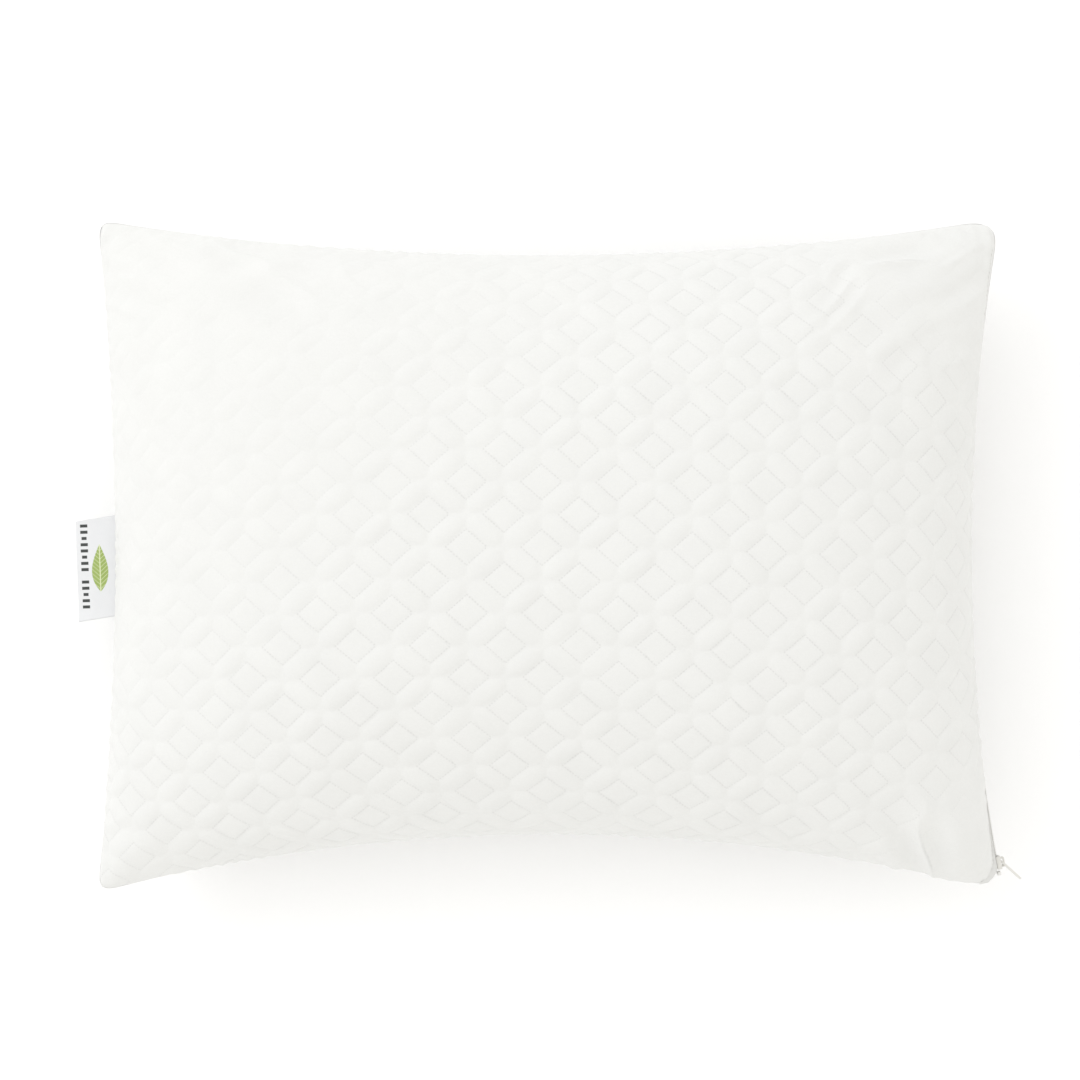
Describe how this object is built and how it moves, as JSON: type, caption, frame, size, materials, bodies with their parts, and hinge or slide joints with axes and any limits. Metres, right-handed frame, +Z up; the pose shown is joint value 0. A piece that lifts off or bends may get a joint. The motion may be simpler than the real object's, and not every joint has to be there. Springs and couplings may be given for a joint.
{
  "type": "bed pillow",
  "caption": "Filled bed pillow with a quilted knit cover, a zip along one short side, a folded side label and a zipped inner bag of shredded foam.",
  "frame": {"origin": "middle of the flat patch that the pillow rests on", "axes": "+X along the long side towards the zip, +Y across the pillow towards its back edge, +Z up through its thickness"},
  "size_m": [0.6685, 0.4701, 0.17],
  "materials": {
    "quilted_knit": "white quilted knit, matte",
    "zip_tape": "white woven polyester tape",
    "zip_coil": "white nylon monofilament",
    "zip_stop": "white moulded stop",
    "slider_enamel": "off-white enamel on die-cast zinc",
    "pull_enamel": "off-white enamel on die-cast zinc, worn at the edges",
    "label_satin": "white woven satin with a printed leaf device",
    "care_satin": "white satin, blank",
    "liner_cloth": "plain white woven polyester",
    "shredded_foam": "shredded open-cell foam"
  },
  "bodies": {
    "root": {"cover_top_panel": "quilted_knit", "cover_bottom_panel": "quilted_knit", "zip_tape_upper": "zip_tape", "zip_tape_lower": "zip_tape", "zip_coil_upper": "zip_coil", "zip_coil_lower": "zip_coil", "zip_top_stops": "zip_stop", "zip_bottom_stop": "zip_stop", "side_label": "label_satin", "care_label": "care_satin", "liner_top_panel": "liner_cloth", "liner_bottom_panel": "liner_cloth", "liner_zip_tape_upper": "zip_tape", "liner_zip_tape_lower": "zip_tape", "liner_zip_coil_upper": "zip_coil", "liner_zip_coil_lower": "zip_coil", "liner_zip_stops": "zip_stop", "foam_fill": "shredded_foam"},
    "zip_slider": {"zip_slider_body": "slider_enamel", "zip_lock_cap": "slider_enamel"},
    "zip_pull": {"zip_pull_tab": "pull_enamel"},
    "liner_slider": {"liner_zip_slider": "slider_enamel", "liner_zip_lock_cap": "slider_enamel"},
    "liner_pull": {"liner_zip_pull": "pull_enamel"}
  },
  "joints": [
    {"name": "zip_travel", "type": "hinge", "parent": "root", "child": "zip_slider", "pos_m": [1.65623, 0.03037, 0.07], "axis": [0, 0, -1], "range_deg": [0, 18.14]},
    {"name": "pull_swing", "type": "hinge", "parent": "zip_slider", "child": "zip_pull", "pos_m": [0.32486, -0.21603, 0.07], "axis": [0, 0, 1], "range_deg": [-27.51, 132.49]},
    {"name": "liner_zip_travel", "type": "slide", "parent": "root", "child": "liner_slider", "axis": [0, 1, 0], "range_m": [0, 0.276]},
    {"name": "liner_pull_swing", "type": "hinge", "parent": "liner_slider", "child": "liner_pull", "pos_m": [-0.26968, -0.138, 0.07], "axis": [0, 0, 1], "range_deg": [-100, 50]}
  ]
}
